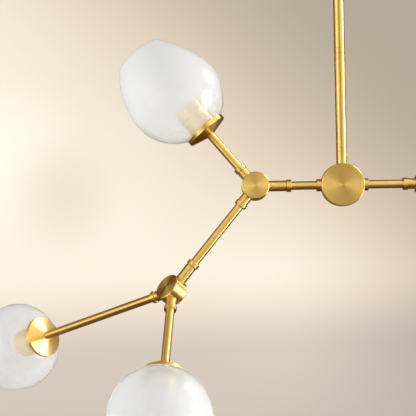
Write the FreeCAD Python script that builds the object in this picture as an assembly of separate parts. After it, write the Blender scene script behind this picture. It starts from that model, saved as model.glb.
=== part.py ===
"""Branch chandelier in satin brass with blown glass bubbles, in millimetres.

The origin is on the ceiling, at the middle of the crossbar's top face. +Z points up and X runs along
the two level arms. Every length along an arm is counted from the centre of the hub it leaves.
"""

import FreeCAD, Part
import math
import os

from FreeCAD import Placement, Rotation, Vector

os.makedirs("parts", exist_ok=True)

X, Y, Z = Vector(1, 0, 0), Vector(0, 1, 0), Vector(0, 0, 1)
ORIGIN = Vector(0, 0, 0)

# ---------------------------------------------------------------- fits
SEAT_GAP = 0.05         # radial gap of a threaded or pushed-in piece
RUNNING_GAP = 0.05      # radial gap of a pivot that turns
FACE_GAP = 0.3          # between the faces of two pieces that turn on each other
HOLE_GAP = 0.5          # radial gap of a plain clearance hole
BITE = 1.0              # how far a cutting or joining solid reaches past the face it meets

# ---------------------------------------------------------------- ceiling group
BRACKET_LENGTH, BRACKET_WIDTH, BRACKET_THICK = 112.0, 25.0, 2.5
BOX_SCREW_SPACING = 88.9
BOX_SLOT_WIDTH, BOX_SLOT_LENGTH = 4.8, 12.0
STUD_SPACING, STUD_R = 60.0, 2.0
CANOPY_R, CANOPY_DEPTH, CANOPY_WALL, CANOPY_EDGE_R = 65.0, 26.0, 1.5, 6.0
CAP_NUT_R, CAP_NUT_SKIRT = 5.0, 4.0

# ---------------------------------------------------------------- hang-straight swivel
SHANK_R, SHANK_PROUD = 5.0, 1.0     # and how far the shank stands past its nut
TURRET_NUT_R, TURRET_NUT_HEIGHT = 9.0, 6.0
TURRET_FLANGE_R, TURRET_FLANGE_THICK, TURRET_EDGE = 17.0, 4.0, 0.5
CHEEK_R, CHEEK_THICK, CHEEK_SLOT = 9.0, 5.0, 12.0
PIN_DROP = 14.0         # from the flange's underside to the pin
PIN_R, PIN_HEAD_R, PIN_HEAD_THICK = 3.0, 4.5, 2.0
TONGUE_R, TONGUE_WIDTH = 8.0, 15.0
KNUCKLE_NECK, KNUCKLE_LENGTH = 10.0, 20.0
WIRE_R, WIRE_EXIT_R = 3.5, 3.0      # wireway through solid pieces, and its side hole

# ---------------------------------------------------------------- stem
STEM_R, STEM_BORE_R = 8.0, 6.0
UPPER_ROD_LENGTH, LOWER_ROD_LENGTH = 300.0, 142.0
UPPER_COUPLER_RING, LOWER_COUPLER_RING = 7.5, 5.0
COUPLER_SPIGOT = 12.0
ROD_EDGE = 0.3          # small chamfer that shows a joint as a fine line

# ---------------------------------------------------------------- hubs
HUB_THICK = 26.0
HUB_FACE_THICK, HUB_WALL = 3.0, 4.0
COVER_THICK, COVER_BEVEL, COVER_LIP, COVER_LIP_WALL = 4.0, 3.4, 1.5, 3.0
FACE_BEVEL = 1.0
TIP_SHY = 1.0           # a fixed arm's tip stops this far short of the drum's inner wall
CENTER_HUB_R = 32.0
CENTER_NECK_TOP = 50.0
SIDE_HUB_R = 20.5
SPIGOT_R = 8.0
SHORT_SPIGOT, LONG_SPIGOT = 31.0, 46.0      # hub centre to the spigot's end face
BRANCH_ANGLE = 50.5     # each branch from the line of the arm that feeds the hub

# ---------------------------------------------------------------- arms
ARM_R, ARM_BORE_R, ARM_WIRE_R = 6.35, 4.75, 3.0
ARM_THREAD_R = 5.0
ARM_PLUG = 6.0          # solid length behind a shoulder
COLLAR_R, COLLAR_LENGTH, COLLAR_EDGE = 9.2, 7.0, 0.4
FLANGE_REACH = 6.5      # of a coped flange past the drum's crown
SWIVEL_NUT_R, SWIVEL_NUT_THICK, SWIVEL_NUT_EDGE = 7.0, 4.0, 0.4
NUT_OUTER_FACE = 14.0   # hub centre to the swivel nut's outer face
JOURNAL_PROUD = 0.5     # the journal stands this far past its nut
LEFT_ARM, RIGHT_ARM = 130.0, 129.0          # centre hub to inner hub
MID_ARM = 199.0         # inner hub to outer hub
UPPER_LIGHT, FAR_LIGHT, FRONT_LIGHT = 102.5, 282.0, 149.3   # hub centre to the dish's back

# ---------------------------------------------------------------- how the hubs stand, in degrees
LEFT_INNER_TURN, LEFT_OUTER_TURN = 6.6, 55.0
RIGHT_INNER_TURN, RIGHT_OUTER_TURN = -80.0, -55.0

# ---------------------------------------------------------------- lamp ends, counted from the dish's back
DISH_R, DISH_BOSS_R, DISH_CONE, DISH_BAND = 32.5, 7.5, 7.0, 6.5
DISH_FLOOR, DISH_FLOOR_R, DISH_EDGE = 5.6, 22.5, 0.4
NECK_SEAT = 8.0
CUP_R, CUP_WALL, CUP_FLOOR, CUP_LENGTH, CUP_EDGE = 22.0, 1.0, 1.5, 52.0, 0.6
SOCKET_R, SOCKET_CAP_R, SOCKET_CAP_LENGTH, SOCKET_LENGTH = 18.0, 15.0, 13.0, 43.0
LAMP_BORE_R, LAMP_BORE_DEPTH = 13.6, 28.0
THREAD_REACH = 8.0      # of the arm's end inside the socket

# ---------------------------------------------------------------- glass, counted from the dish's rim
GLASS_R, GLASS_LENGTH, GLASS_WALL = 72.5, 155.5, 2.5
GLASS_WIDEST = 64.0
GLASS_FOOT_R, GLASS_NECK_R = 30.0, 28.5
SHOULDER_R, SHOULDER_DROP = 38.5, 5.0   # where the tapering side meets the end, below its middle
END_EDGE_R = 16.0

# ---------------------------------------------------------------- derived places
DISH_RIM = DISH_CONE + DISH_BAND
TURRET_TOP = -CANOPY_DEPTH - FACE_GAP
FLANGE_BOTTOM = TURRET_TOP - TURRET_FLANGE_THICK
PIN_Z = FLANGE_BOTTOM - PIN_DROP
STEM_TOP = PIN_Z - KNUCKLE_NECK - KNUCKLE_LENGTH
UPPER_COUPLER_Z = STEM_TOP - UPPER_ROD_LENGTH
LOWER_ROD_TOP = UPPER_COUPLER_Z - UPPER_COUPLER_RING
LOWER_COUPLER_Z = LOWER_ROD_TOP - LOWER_ROD_LENGTH
CENTER_Z = LOWER_COUPLER_Z - LOWER_COUPLER_RING - CENTER_NECK_TOP


# ================================================================ helpers
def cylinder(radius, low, high, x=0.0, y=0.0, axis=Z):
    """Solid cylinder along an axis, from low to high."""
    base = Vector(x, y, 0) + axis * low
    return Part.makeCylinder(radius, high - low, base, axis)


def box(x_size, y_size, low, high, x=0.0, y=0.0):
    """Box centred on x, y, from low to high."""
    corner = Vector(x - x_size / 2, y - y_size / 2, low)
    return Part.makeBox(x_size, y_size, high - low, corner)


def joined(*solids):
    """One solid from overlapping solids."""
    first, *rest = solids
    return first.multiFuse(rest).removeSplitter() if rest else first


def without(solid, *tools):
    """The solid with every tool cut away."""
    return solid.cut(Part.makeCompound(list(tools))) if len(tools) > 1 else solid.cut(tools[0])


def turned(points):
    """Solid turned about Z from a closed outline of (radius, height) points."""
    corners = [Vector(radius, 0, height) for radius, height in points]
    face = Part.Face(Part.makePolygon(corners + corners[:1]))
    return face.revolve(ORIGIN, Z, 360)


def bevelled_rod(radius, low, high, edge, edge_low=None):
    """Cylinder along Z with a chamfer at each end."""
    edge_low = edge if edge_low is None else edge_low
    return turned([
        (0, low), (radius - edge_low, low), (radius, low + edge_low),
        (radius, high - edge), (radius - edge, high), (0, high),
    ])


def ring(outer, inner, low, high, edge=0.0):
    """Plain ring along Z, with its outer edges chamfered."""
    return turned([
        (inner, low), (outer - edge, low), (outer, low + edge),
        (outer, high - edge), (outer - edge, high), (inner, high),
    ]) if edge else without(cylinder(outer, low, high), cylinder(inner, low, high))


def hexagon(radius, low, high):
    """Hexagonal prism with the given corner radius."""
    corners = [Vector(radius * math.cos(math.radians(60 * k)), radius * math.sin(math.radians(60 * k)), low)
               for k in range(7)]
    return Part.Face(Part.makePolygon(corners)).extrude(Z * (high - low))


def placed(solid, frame):
    """A copy of the solid, moved from the frame's own axes into the part's."""
    copy = solid.copy()
    copy.Placement = frame.multiply(copy.Placement)
    return copy


# ================================================================ ceiling group
def mounting_bracket():
    """Crossbar with two slots for the outlet box, two tapped holes and the shank's hole."""
    bar = box(BRACKET_LENGTH, BRACKET_WIDTH, -BRACKET_THICK, 0)
    low, high = -BRACKET_THICK - BITE, BITE
    straight = BOX_SLOT_LENGTH - BOX_SLOT_WIDTH
    tools = [cylinder(SHANK_R + RUNNING_GAP, low, high)]
    for side in (-1, 1):
        middle = side * BOX_SCREW_SPACING / 2
        tools.append(joined(
            box(straight, BOX_SLOT_WIDTH, low, high, middle),
            cylinder(BOX_SLOT_WIDTH / 2, low, high, middle - straight / 2),
            cylinder(BOX_SLOT_WIDTH / 2, low, high, middle + straight / 2)))
        tools.append(cylinder(STUD_R + SEAT_GAP, low, high, side * STUD_SPACING / 2))
    return without(bar, *tools)


def canopy():
    """Shallow spun pan, open at the ceiling."""
    outer = cylinder(CANOPY_R, -CANOPY_DEPTH, 0)
    outer = outer.makeFillet(CANOPY_EDGE_R, [outer.Edges[2]])
    inner_r = CANOPY_R - CANOPY_WALL
    inner = cylinder(inner_r, -CANOPY_DEPTH + CANOPY_WALL, BITE)
    inner = inner.makeFillet(CANOPY_EDGE_R - CANOPY_WALL, [inner.Edges[2]])
    low, high = -CANOPY_DEPTH - BITE, 0
    holes = [cylinder(SHANK_R + HOLE_GAP, low, high)]
    holes += [cylinder(STUD_R + HOLE_GAP, low, high, side * STUD_SPACING / 2) for side in (-1, 1)]
    return without(outer, inner, *holes)


def canopy_studs():
    """Two threaded studs from the crossbar down through the canopy into their cap nuts."""
    end = -CANOPY_DEPTH - CAP_NUT_SKIRT
    return [cylinder(STUD_R, end, 0, side * STUD_SPACING / 2) for side in (-1, 1)]


def canopy_nuts():
    """Two domed cap nuts under the canopy."""
    top = -CANOPY_DEPTH
    skirt_end = top - CAP_NUT_SKIRT
    nuts = []
    for side in (-1, 1):
        x = side * STUD_SPACING / 2
        dome = Part.makeSphere(CAP_NUT_R, Vector(x, 0, skirt_end), Z, -90, 0, 360)
        body = joined(cylinder(CAP_NUT_R, skirt_end, top, x), dome)
        nuts.append(without(body, cylinder(STUD_R + SEAT_GAP, skirt_end - SEAT_GAP, top + BITE, x)))
    return nuts


# ================================================================ hang-straight swivel
def cross_hole(radius, width):
    """Drill along Y through a piece of this width, at the swivel pin."""
    return Part.makeCylinder(radius, width + 2 * BITE, Vector(0, -width / 2 - BITE, PIN_Z), Y)


def swivel_turret():
    """Shank, flange and two cheeks that carry the swivel pin."""
    nut_top = FACE_GAP + TURRET_NUT_HEIGHT
    shank = bevelled_rod(SHANK_R, TURRET_TOP - BITE, nut_top + SHANK_PROUD, TURRET_EDGE, 0)
    flange = bevelled_rod(TURRET_FLANGE_R, FLANGE_BOTTOM, TURRET_TOP, TURRET_EDGE)
    cheeks = []
    for side in (-1, 1):
        y = side * (CHEEK_SLOT + CHEEK_THICK) / 2
        plate = box(2 * CHEEK_R, CHEEK_THICK, PIN_Z, FLANGE_BOTTOM + BITE, 0, y)
        eye = Part.makeCylinder(CHEEK_R, CHEEK_THICK, Vector(0, y - CHEEK_THICK / 2, PIN_Z), Y)
        cheeks += [plate, eye]
    hole = cross_hole(PIN_R + SEAT_GAP, CHEEK_SLOT + 2 * CHEEK_THICK)
    return without(joined(shank, flange, *cheeks), hole)


def turret_nut():
    """Hexagon nut that holds the turret's shank above the crossbar."""
    low, high = FACE_GAP, FACE_GAP + TURRET_NUT_HEIGHT
    return without(hexagon(TURRET_NUT_R, low, high), cylinder(SHANK_R + SEAT_GAP, low - BITE, high + BITE))


def swivel_pin():
    """Pin with a flat head at each end, outside the cheeks."""
    half = CHEEK_SLOT / 2 + CHEEK_THICK
    base = Vector(0, 0, PIN_Z)
    shaft = Part.makeCylinder(PIN_R, 2 * half, base - Y * half, Y)
    heads = [Part.makeCylinder(PIN_HEAD_R, PIN_HEAD_THICK, base - Y * (half + PIN_HEAD_THICK), Y),
             Part.makeCylinder(PIN_HEAD_R, PIN_HEAD_THICK, base + Y * half, Y)]
    return joined(shaft, *heads)


def swivel_knuckle():
    """Tongue on the pin, a round shank and the spigot that the stem screws on."""
    thick = CHEEK_SLOT - 2 * FACE_GAP
    eye = Part.makeCylinder(TONGUE_R, thick, Vector(0, -thick / 2, PIN_Z), Y)
    neck_z = PIN_Z - KNUCKLE_NECK
    tongue = box(TONGUE_WIDTH, thick, neck_z - BITE, PIN_Z)
    shank = bevelled_rod(STEM_R, STEM_TOP, neck_z, ROD_EDGE)
    spigot = cylinder(STEM_BORE_R - SEAT_GAP, STEM_TOP - COUPLER_SPIGOT, STEM_TOP + BITE)
    body = joined(eye, tongue, shank, spigot)
    pivot = cross_hole(PIN_R + RUNNING_GAP, thick)
    wireway = cylinder(WIRE_R, STEM_TOP - COUPLER_SPIGOT - BITE, neck_z - KNUCKLE_LENGTH / 2)
    wire_exit = Part.makeCylinder(WIRE_EXIT_R, STEM_R + BITE, Vector(0, 0, neck_z - KNUCKLE_LENGTH / 2), X)
    return without(body, pivot, wireway, wire_exit)


# ================================================================ stem
def stem_rod(low, high):
    """Plain tube between two couplers."""
    return without(bevelled_rod(STEM_R, low, high, ROD_EDGE), cylinder(STEM_BORE_R, low - BITE, high + BITE))


def stem_couplers():
    """Flush rings between the rods, each with a hollow spigot up and down."""
    couplers = []
    for top, length in ((UPPER_COUPLER_Z, UPPER_COUPLER_RING), (LOWER_COUPLER_Z, LOWER_COUPLER_RING)):
        band = bevelled_rod(STEM_R, top - length, top, ROD_EDGE)
        low, high = top - length - COUPLER_SPIGOT, top + COUPLER_SPIGOT
        spigots = cylinder(STEM_BORE_R - SEAT_GAP, low, high)
        couplers.append(without(joined(band, spigots), cylinder(WIRE_R, low - BITE, high + BITE)))
    return couplers


# ================================================================ hubs
def drum(radius):
    """Hollow drum about Y, open at the back, with a fine bevel round its front face."""
    front, back = -HUB_THICK / 2, HUB_THICK / 2 - COVER_THICK
    body = turned([(0, front), (radius - FACE_BEVEL, front), (radius, front + FACE_BEVEL),
                   (radius, back), (0, back)])
    body.Placement = Placement(ORIGIN, Rotation(X, -90))
    return body


def drum_cavity(radius):
    """Space inside a drum."""
    front = -HUB_THICK / 2 + HUB_FACE_THICK
    return Part.makeCylinder(radius - HUB_WALL, HUB_THICK, Vector(0, front, 0), Y)


def hub_cover(radius):
    """Rear cover with a broad bevel and a lip that screws into the drum."""
    low, high = HUB_THICK / 2 - COVER_THICK, HUB_THICK / 2
    lip_r = radius - HUB_WALL - SEAT_GAP
    cover = turned([
        (0, high), (radius - COVER_BEVEL, high), (radius, high - COVER_BEVEL), (radius, low), (lip_r, low),
        (lip_r, low - COVER_LIP), (lip_r - COVER_LIP_WALL, low - COVER_LIP), (lip_r - COVER_LIP_WALL, low),
        (0, low)])
    cover.Placement = Placement(ORIGIN, Rotation(X, -90))
    return cover


def port_frame(hub, angle):
    """Frame at a hub's centre whose Z leaves along the port at this angle from the hub's X."""
    return hub.multiply(Placement(ORIGIN, Rotation(Y, 90 - angle)))


def center_hub():
    """Large drum with a neck for the stem and a hole for each level arm."""
    neck = bevelled_rod(STEM_R, CENTER_HUB_R - HUB_WALL, CENTER_NECK_TOP, ROD_EDGE, 0)
    socket = cylinder(STEM_BORE_R, CENTER_NECK_TOP - COUPLER_SPIGOT - BITE, CENTER_NECK_TOP + BITE)
    wireway = cylinder(WIRE_R, 0, CENTER_NECK_TOP)
    arm_hole = cylinder(ARM_R + SEAT_GAP, -2 * CENTER_HUB_R, 2 * CENTER_HUB_R, axis=X)
    body = joined(drum(CENTER_HUB_R), neck)
    return without(body, drum_cavity(CENTER_HUB_R), socket, wireway, arm_hole)


def side_hub(ports):
    """Small drum with a spigot for each port, given as (angle, end face, bore radius)."""
    solids, bores = [drum(SIDE_HUB_R)], [drum_cavity(SIDE_HUB_R)]
    for angle, end_face, bore in ports:
        frame = port_frame(Placement(), angle)
        inner = SIDE_HUB_R - HUB_WALL
        solids.append(placed(bevelled_rod(SPIGOT_R, inner, end_face, COLLAR_EDGE, 0), frame))
        bores.append(placed(cylinder(bore, NUT_OUTER_FACE - BITE, end_face + BITE), frame))
    return without(joined(*solids), *bores)


def swivel_nut():
    """Ring nut on a journal's end, inside the hub that turns on it, about the hub's centre."""
    low = NUT_OUTER_FACE - SWIVEL_NUT_THICK
    return ring(SWIVEL_NUT_R, ARM_THREAD_R + SEAT_GAP, low, NUT_OUTER_FACE, SWIVEL_NUT_EDGE)


# ================================================================ arms
def collar(start):
    """Plain turned collar round an arm."""
    return ring(COLLAR_R, ARM_R + SEAT_GAP, start, start + COLLAR_LENGTH, COLLAR_EDGE)


def coped_flange():
    """Collar at the centre hub, its inner end shaped to the drum's round wall."""
    blank = ring(COLLAR_R, ARM_R + SEAT_GAP, CENTER_HUB_R - HUB_WALL, CENTER_HUB_R + FLANGE_REACH)
    wall = Part.makeCylinder(CENTER_HUB_R + SEAT_GAP, HUB_THICK, Vector(0, -HUB_THICK / 2, 0), Y)
    return without(blank, wall)


def arm_rod(near_tip, near_shoulder, far_shoulder, far_tip):
    """Tube between two shoulders, stepped down past each one that has a tip beyond it."""
    pieces = [cylinder(ARM_R, near_shoulder, far_shoulder)]
    if near_tip < near_shoulder:
        pieces.append(cylinder(ARM_THREAD_R, near_tip, near_shoulder))
    if far_tip > far_shoulder:
        pieces.append(cylinder(ARM_THREAD_R, far_shoulder, far_tip))
    near_plug = ARM_PLUG if near_tip < near_shoulder else -BITE
    bores = [cylinder(ARM_WIRE_R, near_tip - BITE, far_tip + BITE),
             cylinder(ARM_BORE_R, near_shoulder + near_plug, far_shoulder - ARM_PLUG)]
    return without(joined(*pieces), *bores)


def journal_tip(end_face):
    """Length of journal from a swivel's shoulder to just past its nut."""
    return end_face + FACE_GAP - (NUT_OUTER_FACE - SWIVEL_NUT_THICK - JOURNAL_PROUD)


def level_arm(length, spigot_end):
    """Arm from the centre hub to an inner hub that turns on its far end, with collar and nut."""
    shoulder = length - spigot_end - FACE_GAP
    start = CENTER_HUB_R - HUB_WALL - JOURNAL_PROUD
    rod = arm_rod(start, start, shoulder, shoulder + journal_tip(spigot_end))
    nut = placed(swivel_nut(), Placement(Z * length, Rotation(Y, 180)))
    return rod, collar(shoulder - COLLAR_LENGTH), nut


def mid_arm(near_face):
    """Arm from an inner hub's fixed port to the outer hub that turns on its far end."""
    shoulder = MID_ARM - LONG_SPIGOT - FACE_GAP
    near_tip = SIDE_HUB_R - HUB_WALL + TIP_SHY
    rod = arm_rod(near_tip, near_face, shoulder, shoulder + journal_tip(LONG_SPIGOT))
    nut = placed(swivel_nut(), Placement(Z * MID_ARM, Rotation(Y, 180)))
    return rod, collar(near_face), collar(shoulder - COLLAR_LENGTH), nut


def lamp_arm(length):
    """Arm from a short port to a dish, threaded through the dish and cup into the socket."""
    near_tip = SIDE_HUB_R - HUB_WALL + TIP_SHY
    tip = length + DISH_FLOOR + CUP_FLOOR + THREAD_REACH
    return arm_rod(near_tip, SHORT_SPIGOT, length, tip)


# ================================================================ lamp end, about the dish's back
def dish():
    """Turned holder with a conical back and a plain band, which the glass neck screws into."""
    hole = ARM_THREAD_R + SEAT_GAP
    seat_r = GLASS_NECK_R + HOLE_GAP
    return turned([
        (hole, 0), (DISH_BOSS_R, 0), (DISH_R - DISH_EDGE, DISH_CONE), (DISH_R, DISH_CONE + DISH_EDGE),
        (DISH_R, DISH_RIM - DISH_EDGE), (DISH_R - DISH_EDGE, DISH_RIM), (seat_r, DISH_RIM), (seat_r, NECK_SEAT),
        (DISH_FLOOR_R, DISH_FLOOR), (hole, DISH_FLOOR)])


def socket_cup():
    """Thin brass cup round the lamp socket."""
    hole = ARM_THREAD_R + SEAT_GAP
    low, high = DISH_FLOOR, DISH_FLOOR + CUP_LENGTH
    return turned([
        (hole, low), (CUP_R - CUP_EDGE, low), (CUP_R, low + CUP_EDGE), (CUP_R, high), (CUP_R - CUP_WALL, high),
        (CUP_R - CUP_WALL, low + CUP_FLOOR), (hole, low + CUP_FLOOR)])


def lamp_socket():
    """Moulded socket with a narrow cap, threaded on the arm's end, and a bore for the lamp."""
    low = DISH_FLOOR + CUP_FLOOR
    top = low + SOCKET_LENGTH
    body = turned([
        (0, low), (SOCKET_CAP_R, low), (SOCKET_CAP_R, low + SOCKET_CAP_LENGTH),
        (SOCKET_R, low + SOCKET_CAP_LENGTH), (SOCKET_R, top), (0, top)])
    thread = cylinder(ARM_THREAD_R + SEAT_GAP, low - BITE, low + THREAD_REACH + SEAT_GAP)
    return without(body, thread, cylinder(LAMP_BORE_R, top - LAMP_BORE_DEPTH, top + BITE))


def arc_radius(inward, rise):
    """Radius of an arc that sets out upright and has drifted inward after this rise."""
    return (inward ** 2 + rise ** 2) / (2 * inward)


def on_circle(centre, radius, height):
    """Point at a height on the outer side of a circle in the XZ plane."""
    above = height - centre.z
    return centre + Vector(math.sqrt(radius ** 2 - above ** 2), 0, above)


def outer_crossing(first, first_r, second, second_r):
    """Crossing of two circles in the XZ plane, the one that lies farther out."""
    between = second - first
    gap = between.Length
    along = (gap ** 2 + first_r ** 2 - second_r ** 2) / (2 * gap)
    off = math.sqrt(first_r ** 2 - along ** 2)
    square = Vector(between.z, 0, -between.x)
    points = [first + between * (along / gap) + square * (side * off / gap) for side in (-1, 1)]
    return max(points, key=lambda point: point.x)


def bubble(inset):
    """Solid bounded by the glass surface, or by its inner face when inset is the wall."""
    shoulder_z = GLASS_LENGTH - SHOULDER_DROP
    bowl_r = arc_radius(GLASS_R - GLASS_FOOT_R, GLASS_WIDEST - FACE_GAP)
    side_r = arc_radius(GLASS_R - SHOULDER_R, shoulder_z - GLASS_WIDEST)
    end_r = arc_radius(SHOULDER_DROP, SHOULDER_R)
    bowl, side = Vector(GLASS_R - bowl_r, 0, GLASS_WIDEST), Vector(GLASS_R - side_r, 0, GLASS_WIDEST)
    end = Vector(0, 0, GLASS_LENGTH - end_r)
    bowl_r, side_r, end_r = bowl_r - inset, side_r - inset, end_r - inset
    low, high = FACE_GAP + inset, GLASS_LENGTH - inset
    bottom, tip = Vector(0, 0, low), Vector(0, 0, high)
    foot, widest = on_circle(bowl, bowl_r, low), Vector(GLASS_R - inset, 0, GLASS_WIDEST)
    shoulder = outer_crossing(side, side_r, end, end_r)
    outline = Part.Wire([
        Part.makeLine(bottom, foot),
        Part.Arc(foot, on_circle(bowl, bowl_r, (foot.z + widest.z) / 2), widest).toShape(),
        Part.Arc(widest, on_circle(side, side_r, (widest.z + shoulder.z) / 2), shoulder).toShape(),
        Part.Arc(shoulder, on_circle(end, end_r, (shoulder.z + tip.z) / 2), tip).toShape(),
        Part.makeLine(tip, bottom)])
    body = Part.Face(outline).revolve(ORIGIN, Z, 360)
    circles = [edge for edge in body.Edges if not edge.Degenerated and edge.isClosed()]
    rim = max(circles, key=lambda edge: edge.CenterOfMass.z)
    return body.makeFillet(END_EDGE_R - inset, [rim])


def glass():
    """Blown bubble with a broad, flattened end and a short neck, about the dish's back."""
    neck = cylinder(GLASS_NECK_R, NECK_SEAT + FACE_GAP - DISH_RIM, GLASS_WALL)
    mouth = cylinder(GLASS_NECK_R - GLASS_WALL, NECK_SEAT - DISH_RIM - BITE, 2 * GLASS_WALL)
    shell = without(joined(bubble(0.0), neck), bubble(GLASS_WALL), mouth)
    return placed(shell, Placement(Z * DISH_RIM, Rotation()))


# ================================================================ the whole
def center_frame():
    """Frame at the centre hub."""
    return Placement(Z * CENTER_Z, Rotation())


def inner_frame(side):
    """Frame at an inner hub: X away from the centre, front face at -Y before it is turned."""
    left = side == "left"
    flip = Rotation(Y, 180) if left else Rotation(X, 180)
    length, turn = (LEFT_ARM, LEFT_INNER_TURN) if left else (RIGHT_ARM, RIGHT_INNER_TURN)
    start = Vector(-length if left else length, 0, CENTER_Z)
    return Placement(start, flip.multiply(Rotation(X, turn)))


def outer_frame(side):
    """Frame at an outer hub: X along the mid arm that feeds it."""
    turn = LEFT_OUTER_TURN if side == "left" else RIGHT_OUTER_TURN
    along = Placement(ORIGIN, Rotation(Y, -BRANCH_ANGLE)).multiply(Placement(X * MID_ARM, Rotation(X, turn)))
    return inner_frame(side).multiply(along)


def light_frame(hub, angle, length):
    """Frame at a dish's back, Z along the lamp arm."""
    return port_frame(hub, angle).multiply(Placement(Z * length, Rotation()))


def upper_nodes():
    """Ceiling group, swivel, stem, centre hub and level arms."""
    center = center_frame()
    nodes = {
        "mounting_bracket": mounting_bracket(), "canopy": canopy(),
        "canopy_studs": canopy_studs(), "canopy_nuts": canopy_nuts(),
        "swivel_turret": swivel_turret(), "turret_nut": turret_nut(), "swivel_pin": swivel_pin(),
        "swivel_knuckle": swivel_knuckle(),
        "upper_stem_rod": stem_rod(UPPER_COUPLER_Z, STEM_TOP),
        "lower_stem_rod": stem_rod(LOWER_COUPLER_Z, LOWER_ROD_TOP),
        "stem_couplers": stem_couplers(),
        "center_hub": placed(center_hub(), center), "center_hub_cover": placed(hub_cover(CENTER_HUB_R), center),
    }
    flanges, collars, nuts = [], [], []
    for side, angle, length, face in (("left", 180, LEFT_ARM, LONG_SPIGOT), ("right", 0, RIGHT_ARM, SHORT_SPIGOT)):
        frame = port_frame(center, angle)
        rod, arm_collar, nut = (placed(piece, frame) for piece in level_arm(length, face))
        nodes[side + "_arm_rod"] = rod
        collars.append(arm_collar)
        nuts.append(nut)
        flanges.append(placed(coped_flange(), frame))
    return nodes | {"arm_flanges": flanges, "arm_collars": collars, "arm_swivel_nuts": nuts}


def lamp_end(frame):
    """Dish, cup, socket and glass of one light."""
    return [placed(piece, frame) for piece in (dish(), socket_cup(), lamp_socket(), glass())]


def inner_nodes(side):
    """Inner hub, mid arm and the upper light of one side."""
    hub, fixed, turning = inner_frame(side), ARM_THREAD_R + SEAT_GAP, ARM_THREAD_R + RUNNING_GAP
    left = side == "left"
    feed, mid = (LONG_SPIGOT, SHORT_SPIGOT) if left else (SHORT_SPIGOT, LONG_SPIGOT)
    ports = [(180, feed, turning), (BRANCH_ANGLE, mid, fixed), (-BRANCH_ANGLE, SHORT_SPIGOT, fixed)]
    mid_frame, upper_frame = port_frame(hub, BRANCH_ANGLE), port_frame(hub, -BRANCH_ANGLE)
    rod, near_collar, far_collar, nut = (placed(piece, mid_frame) for piece in mid_arm(mid))
    lamp = light_frame(hub, -BRANCH_ANGLE, UPPER_LIGHT)
    a_dish, cup, socket, a_glass = lamp_end(lamp)
    return {
        f"{side}_inner_hub": placed(side_hub(ports), hub),
        f"{side}_inner_hub_cover": placed(hub_cover(SIDE_HUB_R), hub),
        f"{side}_inner_collars": [near_collar, far_collar, placed(collar(SHORT_SPIGOT), upper_frame)],
        f"{side}_mid_rod": rod, f"{side}_mid_swivel_nut": nut,
        f"{side}_upper_lamp_rod": placed(lamp_arm(UPPER_LIGHT), upper_frame),
        f"{side}_upper_dish": a_dish, f"{side}_upper_cup": cup,
        f"{side}_upper_socket": socket, f"{side}_upper_glass": a_glass,
    }


def outer_nodes(side):
    """Outer hub with the far and the front light of one side."""
    hub, fixed, turning = outer_frame(side), ARM_THREAD_R + SEAT_GAP, ARM_THREAD_R + RUNNING_GAP
    ports = [(180, LONG_SPIGOT, turning), (BRANCH_ANGLE, SHORT_SPIGOT, fixed), (-BRANCH_ANGLE, SHORT_SPIGOT, fixed)]
    nodes = {f"{side}_outer_hub": placed(side_hub(ports), hub),
             f"{side}_outer_hub_cover": placed(hub_cover(SIDE_HUB_R), hub)}
    collars, cups, sockets = [], [], []
    for name, angle, length in (("far", -BRANCH_ANGLE, FAR_LIGHT), ("front", BRANCH_ANGLE, FRONT_LIGHT)):
        frame = port_frame(hub, angle)
        a_dish, cup, socket, a_glass = lamp_end(light_frame(hub, angle, length))
        nodes[f"{side}_{name}_lamp_rod"] = placed(lamp_arm(length), frame)
        nodes[f"{side}_{name}_dish"] = a_dish
        nodes[f"{side}_{name}_glass"] = a_glass
        collars.append(placed(collar(SHORT_SPIGOT), frame))
        cups.append(cup)
        sockets.append(socket)
    nodes[f"{side}_outer_collars"] = collars
    nodes[f"{side}_outer_cups"] = cups
    nodes[f"{side}_outer_sockets"] = sockets
    return nodes


def all_nodes():
    """Every node by name: a solid, or a list of separate solids."""
    nodes = upper_nodes()
    for side in ("left", "right"):
        nodes |= inner_nodes(side)
        nodes |= outer_nodes(side)
    return nodes


def main():
    """Write one STEP file for each node."""
    for name, shape in all_nodes().items():
        solids = shape if isinstance(shape, list) else [shape]
        solids = [solid for piece in solids for solid in piece.Solids]
        whole = solids[0] if len(solids) == 1 else Part.makeCompound(solids)
        whole.exportStep(f"parts/{name}.step")
        print(name, len(solids), round(whole.Volume, 1), whole.isValid())


if __name__ == "__main__":
    main()
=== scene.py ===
"""Branch chandelier: satin brass arms on turned hubs, each arm ending in a hand-blown opal glass bubble."""

import logging
import math
from dataclasses import dataclass, field
from enum import Enum

import bmesh
import bpy
from mathutils import Matrix, Vector


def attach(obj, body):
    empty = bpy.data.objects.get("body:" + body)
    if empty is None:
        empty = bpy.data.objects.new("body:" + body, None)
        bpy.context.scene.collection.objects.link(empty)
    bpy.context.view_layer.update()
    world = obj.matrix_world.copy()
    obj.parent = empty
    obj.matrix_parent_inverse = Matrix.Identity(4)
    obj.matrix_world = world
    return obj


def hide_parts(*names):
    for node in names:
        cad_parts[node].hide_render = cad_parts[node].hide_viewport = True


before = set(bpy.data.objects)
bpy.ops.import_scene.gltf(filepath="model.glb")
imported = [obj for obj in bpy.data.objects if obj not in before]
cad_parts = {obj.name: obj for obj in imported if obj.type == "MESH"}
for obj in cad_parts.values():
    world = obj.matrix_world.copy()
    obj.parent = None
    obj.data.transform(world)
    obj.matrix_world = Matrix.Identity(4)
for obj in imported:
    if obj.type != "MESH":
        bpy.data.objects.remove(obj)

LOG = logging.getLogger("chandelier")
MM = 0.001
ON_AXIS = 1e-9
Colour = tuple[float, float, float]
Profile = list[tuple[float, float]]
Socket = bpy.types.NodeSocket


class Side(Enum):
    """The two halves of the light, as seen in the photo's view."""

    LEFT = "left"
    RIGHT = "right"


class Place(Enum):
    """Where a lamp end hangs on its side."""

    UPPER = "upper"
    FAR = "far"
    FRONT = "front"


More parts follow.
